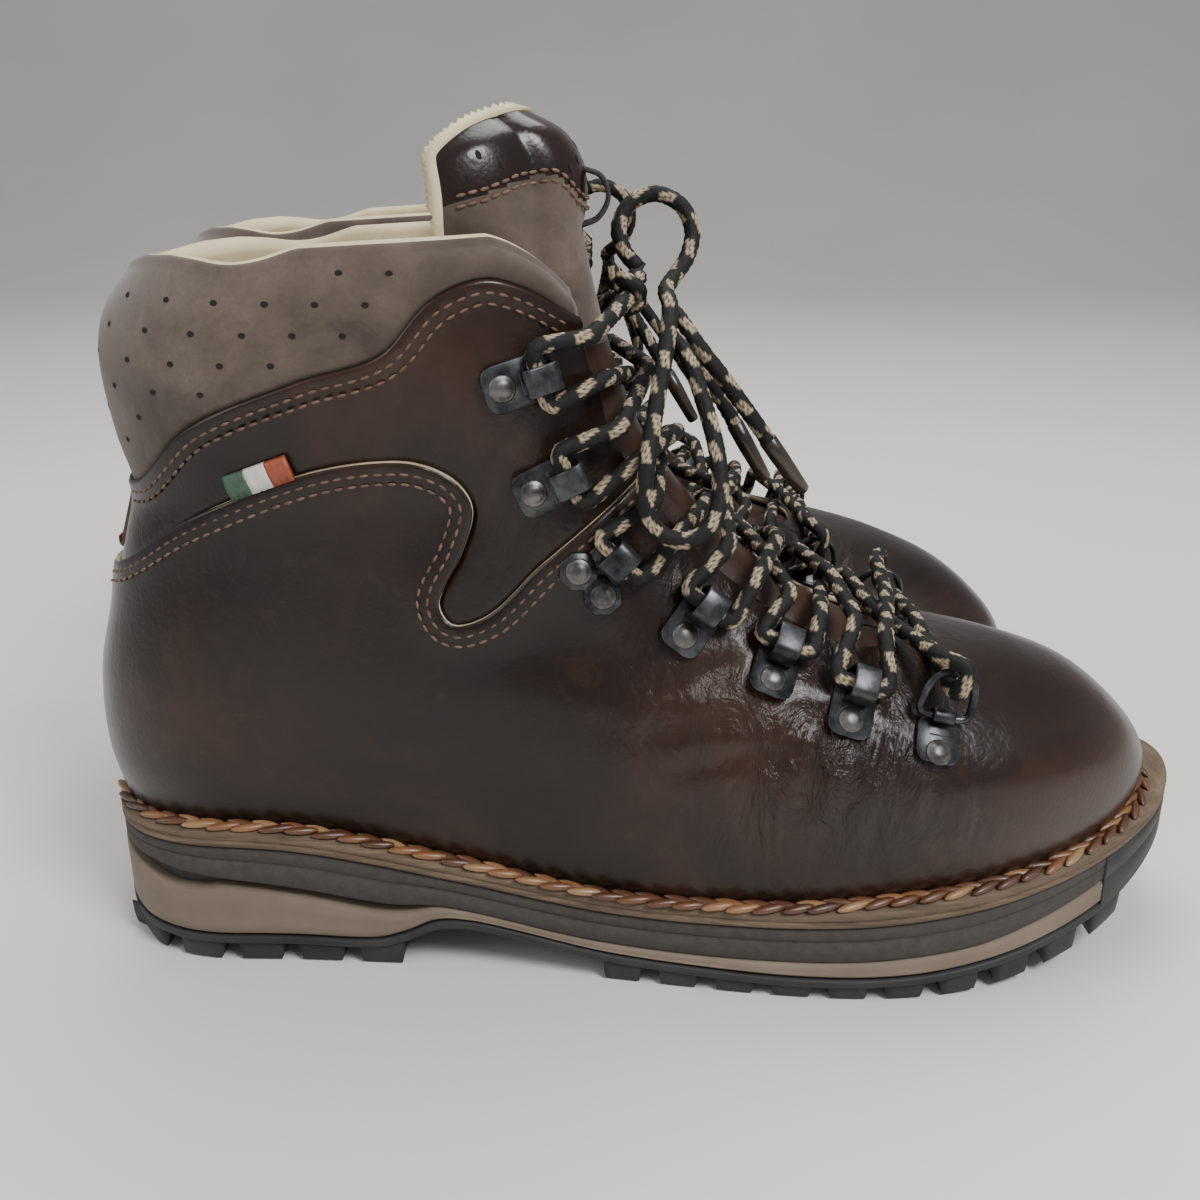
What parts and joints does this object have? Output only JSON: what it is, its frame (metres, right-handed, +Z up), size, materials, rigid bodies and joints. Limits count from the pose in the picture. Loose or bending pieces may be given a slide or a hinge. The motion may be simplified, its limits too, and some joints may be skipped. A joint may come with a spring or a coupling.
{
  "type": "pair of mountaineering boots",
  "caption": "Pair of laced leather mountaineering boots with padded collars, welted sole units, open hooks and turning toe rings, tied in a bow.",
  "frame": {"origin": "on the floor under the middle of the pair's outline", "axes": "+X from the heels to the toes, +Y from the right boot to the left boot, +Z up"},
  "size_m": [0.3362, 0.2156, 0.234],
  "materials": {
    "lug_rubber": "moulded black rubber, matt with a soft sheen on the lug faces",
    "wedge_foam": "taupe polyurethane, matt, finely grained",
    "midsole_foam": "dark grey microporous rubber, cut edge",
    "welt_leather": "cut edge, waxed, fibrous",
    "board": "fibre board of leather, matt",
    "felt": "dark grey felted fabric",
    "upper_leather": "oiled full grain, dark brown, half gloss",
    "collar_nubuck": "padded nubuck, taupe, perforated, matt",
    "lining_leather": "smooth lining leather, cream, matt",
    "tongue_leather": "padded leather with a glossy dark cap and a nubuck face",
    "gunmetal": "gunmetal plating, half gloss",
    "braid": "round black braid with paired beige flecks"
  },
  "bodies": {
    "right_boot": {"right_outsole": "lug_rubber", "right_wedge": "wedge_foam", "right_midsole": "midsole_foam", "right_welt": "welt_leather", "right_insole_board": "board", "right_vamp": "upper_leather", "right_ankle_quarter": "upper_leather", "right_collar": "collar_nubuck", "right_lining": "lining_leather", "right_outer_hook_1": "gunmetal", "right_outer_hook_2": "gunmetal", "right_outer_hook_3": "gunmetal", "right_outer_hook_4": "gunmetal", "right_outer_hook_5": "gunmetal", "right_outer_hook_6": "gunmetal", "right_outer_ring_plate": "gunmetal", "right_inner_hook_1": "gunmetal", "right_inner_hook_2": "gunmetal", "right_inner_hook_3": "gunmetal", "right_inner_hook_4": "gunmetal", "right_inner_hook_5": "gunmetal", "right_inner_hook_6": "gunmetal", "right_inner_ring_plate": "gunmetal", "right_lace": "braid", "right_lace_bow": "braid", "right_lace_tails": "braid"},
    "right_footbed": {"right_footbed": "felt"},
    "right_tongue": {"right_tongue": "tongue_leather"},
    "right_outer_ring": {"right_outer_toe_ring": "gunmetal"},
    "right_inner_ring": {"right_inner_toe_ring": "gunmetal"},
    "left_boot": {"left_outsole": "lug_rubber", "left_wedge": "wedge_foam", "left_midsole": "midsole_foam", "left_welt": "welt_leather", "left_insole_board": "board", "left_vamp": "upper_leather", "left_ankle_quarter": "upper_leather", "left_collar": "collar_nubuck", "left_lining": "lining_leather", "left_outer_hook_1": "gunmetal", "left_outer_hook_2": "gunmetal", "left_outer_hook_3": "gunmetal", "left_outer_hook_4": "gunmetal", "left_outer_hook_5": "gunmetal", "left_outer_hook_6": "gunmetal", "left_outer_ring_plate": "gunmetal", "left_inner_hook_1": "gunmetal", "left_inner_hook_2": "gunmetal", "left_inner_hook_3": "gunmetal", "left_inner_hook_4": "gunmetal", "left_inner_hook_5": "gunmetal", "left_inner_hook_6": "gunmetal", "left_inner_ring_plate": "gunmetal", "left_lace": "braid", "left_lace_bow": "braid", "left_lace_tails": "braid"},
    "left_footbed": {"left_footbed": "felt"},
    "left_tongue": {"left_tongue": "tongue_leather"},
    "left_outer_ring": {"left_outer_toe_ring": "gunmetal"},
    "left_inner_ring": {"left_inner_toe_ring": "gunmetal"}
  },
  "joints": [
    {"name": "left_boot_lift", "type": "slide", "parent": "right_boot", "child": "left_boot", "axis": [0, 0, 1], "range_m": [0, 0.15]},
    {"name": "right_tongue_tilt", "type": "hinge", "parent": "right_boot", "child": "right_tongue", "pos_m": [0.07919, -0.05755, 0.08623], "axis": [0, -1, 0], "range_deg": [0, 6]},
    {"name": "right_footbed_lift", "type": "slide", "parent": "right_boot", "child": "right_footbed", "axis": [0, 0, 1], "range_m": [0, 0.008]},
    {"name": "right_outer_ring_turn", "type": "hinge", "parent": "right_boot", "child": "right_outer_ring", "pos_m": [0.08294, -0.09861, 0.08363], "axis": [-0.9664, -0.0507, 0.2521], "range_deg": [-6, 6]},
    {"name": "right_inner_ring_turn", "type": "hinge", "parent": "right_boot", "child": "right_inner_ring", "pos_m": [0.08234, -0.01627, 0.08375], "axis": [-0.9907, 0.009, 0.1357], "range_deg": [-6, 6]},
    {"name": "left_tongue_tilt", "type": "hinge", "parent": "left_boot", "child": "left_tongue", "pos_m": [0.06419, 0.05755, 0.08623], "axis": [0, -1, 0], "range_deg": [0, 6]},
    {"name": "left_footbed_lift", "type": "slide", "parent": "left_boot", "child": "left_footbed", "axis": [0, 0, 1], "range_m": [0, 0.008]},
    {"name": "left_outer_ring_turn", "type": "hinge", "parent": "left_boot", "child": "left_outer_ring", "pos_m": [0.06794, 0.09861, 0.08363], "axis": [-0.9664, 0.0507, 0.2521], "range_deg": [-6, 6]},
    {"name": "left_inner_ring_turn", "type": "hinge", "parent": "left_boot", "child": "left_inner_ring", "pos_m": [0.06734, 0.01627, 0.08375], "axis": [-0.9907, -0.009, 0.1357], "range_deg": [-6, 6]}
  ]
}
